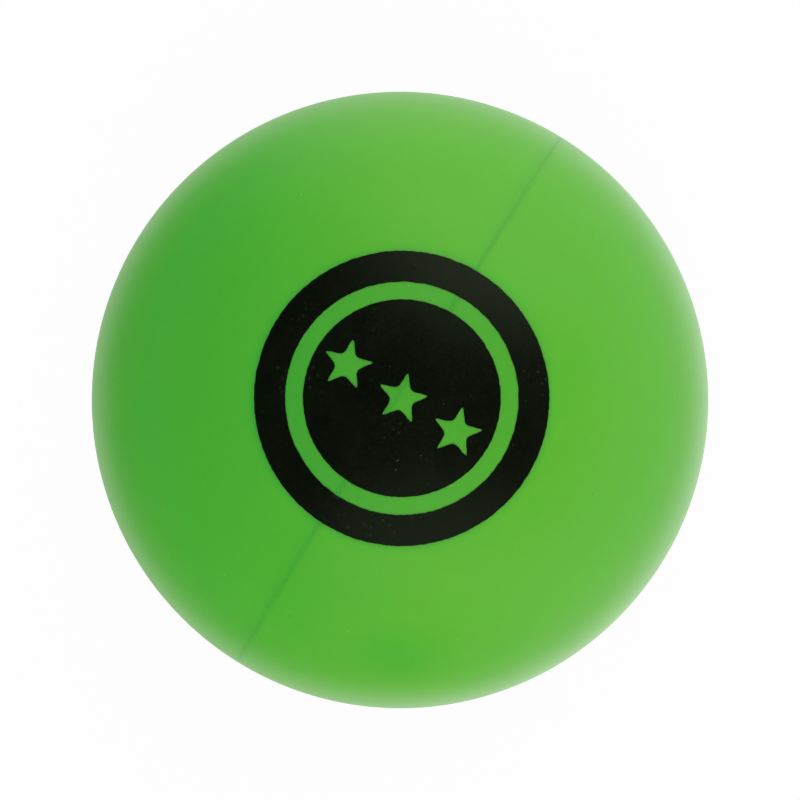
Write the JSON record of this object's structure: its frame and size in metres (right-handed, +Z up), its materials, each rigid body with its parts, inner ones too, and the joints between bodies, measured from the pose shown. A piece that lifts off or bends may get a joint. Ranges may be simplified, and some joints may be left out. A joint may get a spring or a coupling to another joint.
{
  "type": "table tennis ball",
  "caption": "Hollow plastic table tennis ball of two cemented half shells, with a round ink mark printed across the seam.",
  "frame": {"origin": "centre of the ball", "axes": "+Z up, through the side that carries the print; the seam lies in the XZ plane, so the poles of the two half shells are on the Y axis, the socket half at +Y"},
  "size_m": [0.04, 0.04, 0.04],
  "materials": {
    "shell": "satin",
    "cement": "satin",
    "ink": "satin"
  },
  "bodies": {
    "root": {"socket_half_shell": "shell", "spigot_half_shell": "shell", "seam_cement": "cement", "ink_border": "ink", "ink_star_field": "ink"}
  },
  "joints": []
}
